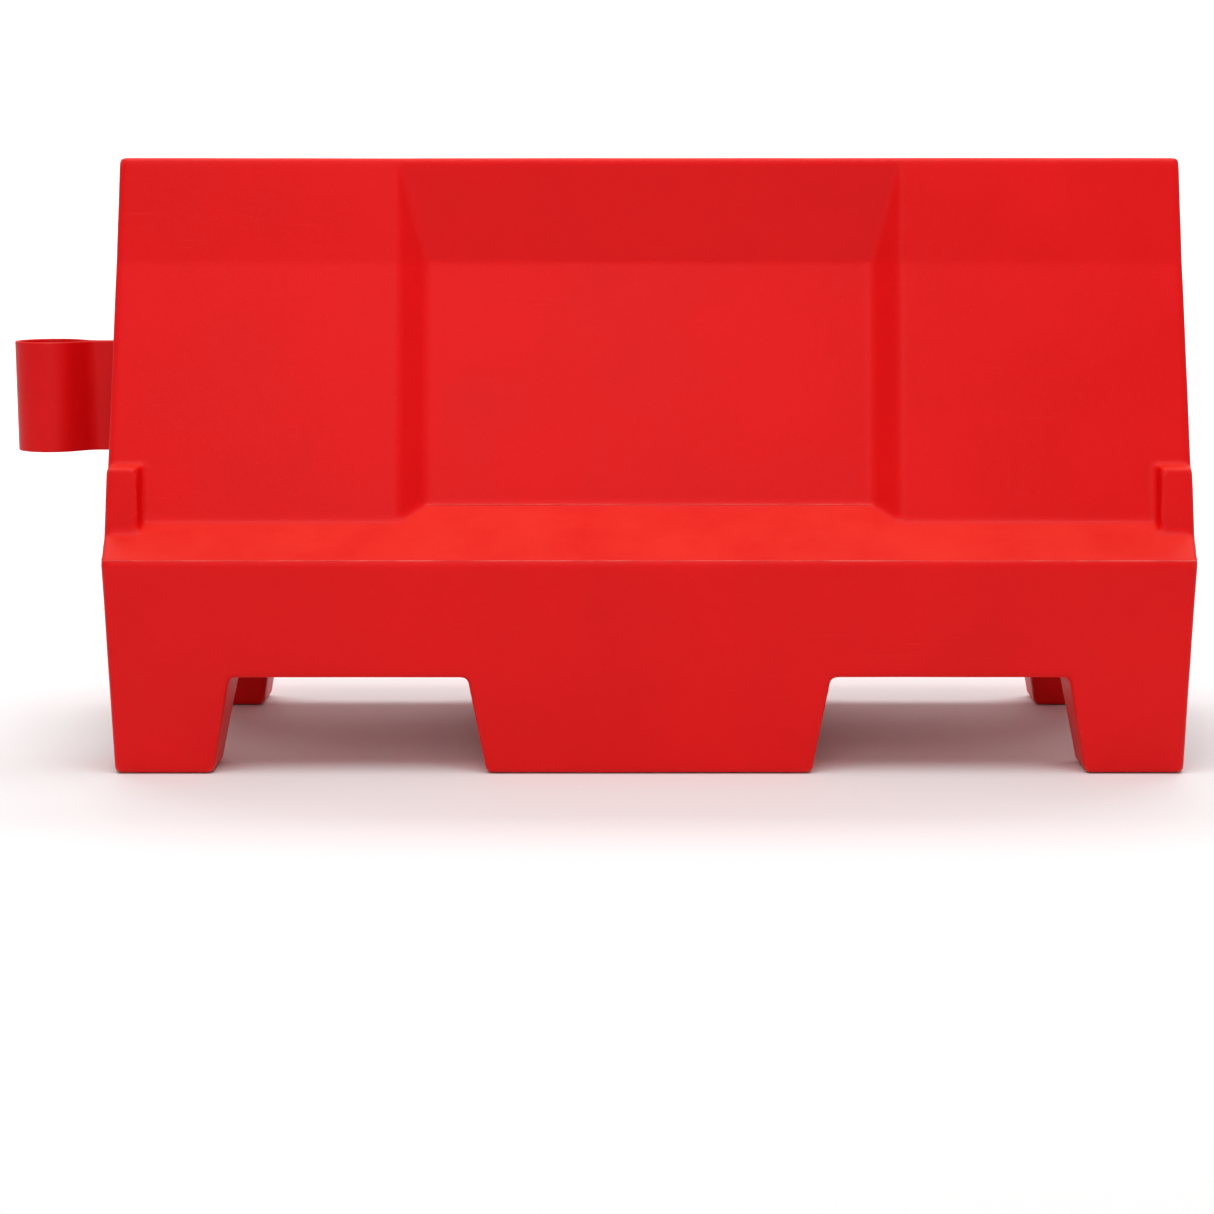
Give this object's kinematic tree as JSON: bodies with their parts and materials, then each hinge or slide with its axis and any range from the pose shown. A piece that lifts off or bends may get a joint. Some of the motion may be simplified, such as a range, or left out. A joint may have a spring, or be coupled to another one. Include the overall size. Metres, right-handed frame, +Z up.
{
  "type": "water filled barrier",
  "caption": "Stackable hollow road barrier to fill with water, with a stepped tapering body on feet, a screwed filler bung, drain plugs and a swinging link clip.",
  "frame": {"origin": "on the floor, under the middle of the tank, where its length, width and stacking tunnel are centred", "axes": "+X along the barrier away from the link clip, +Y to the rear side, +Z up"},
  "size_m": [1.1056, 0.4, 0.55],
  "materials": {
    "tank_polyethylene": "satin rotomoulded polyethylene, red right through",
    "clip_polyethylene": "satin polyethylene, a little darker red",
    "insert_plastic": "fine matt black",
    "bung_plastic": "satin black",
    "washer_rubber": "matt"
  },
  "bodies": {
    "tank": {"tank_shell": "tank_polyethylene", "filler_neck": "insert_plastic", "drain_socket_front": "insert_plastic", "drain_socket_rear": "insert_plastic"},
    "link": {"link_clip": "clip_polyethylene"},
    "filler_washer": {"filler_seal": "washer_rubber"},
    "filler_bung": {"filler_cap": "bung_plastic"},
    "drain_washer_front": {"drain_seal_front": "washer_rubber"},
    "drain_bung_front": {"drain_plug_front": "bung_plastic"},
    "drain_washer_rear": {"drain_seal_rear": "washer_rubber"},
    "drain_bung_rear": {"drain_plug_rear": "bung_plastic"}
  },
  "joints": [
    {"name": "link_clip_swing", "type": "hinge", "parent": "tank", "child": "link", "pos_m": [-0.44859, 0, 0.3274], "axis": [0, 0, 1], "range_deg": [-12, 12]},
    {"name": "filler_cap_lift", "type": "slide", "parent": "tank", "child": "filler_washer", "axis": [0, 0, 1], "range_m": [0, 0.01501]},
    {"name": "filler_cap_turn", "type": "hinge", "parent": "filler_washer", "child": "filler_bung", "pos_m": [0, 0, 0.54], "axis": [0, 0, 1], "range_deg": [0, 900]},
    {"name": "drain_plug_lift_front", "type": "slide", "parent": "tank", "child": "drain_washer_front", "axis": [1, 0, 0], "range_m": [0, 0.01001]},
    {"name": "drain_plug_turn_front", "type": "hinge", "parent": "drain_washer_front", "child": "drain_bung_front", "pos_m": [0.47922, -0.15824, 0.045], "axis": [1, 0, 0], "range_deg": [0, 900]},
    {"name": "drain_plug_lift_rear", "type": "slide", "parent": "tank", "child": "drain_washer_rear", "axis": [1, 0, 0], "range_m": [0, 0.01001]},
    {"name": "drain_plug_turn_rear", "type": "hinge", "parent": "drain_washer_rear", "child": "drain_bung_rear", "pos_m": [0.47922, 0.15824, 0.045], "axis": [1, 0, 0], "range_deg": [0, 900]}
  ],
  "couplings": [
    {"joint": "filler_cap_lift", "follows": "filler_cap_turn", "m_per_rad": 0.00095493},
    {"joint": "drain_plug_lift_front", "follows": "drain_plug_turn_front", "m_per_rad": 0.00063662},
    {"joint": "drain_plug_lift_rear", "follows": "drain_plug_turn_rear", "m_per_rad": 0.00063662}
  ]
}
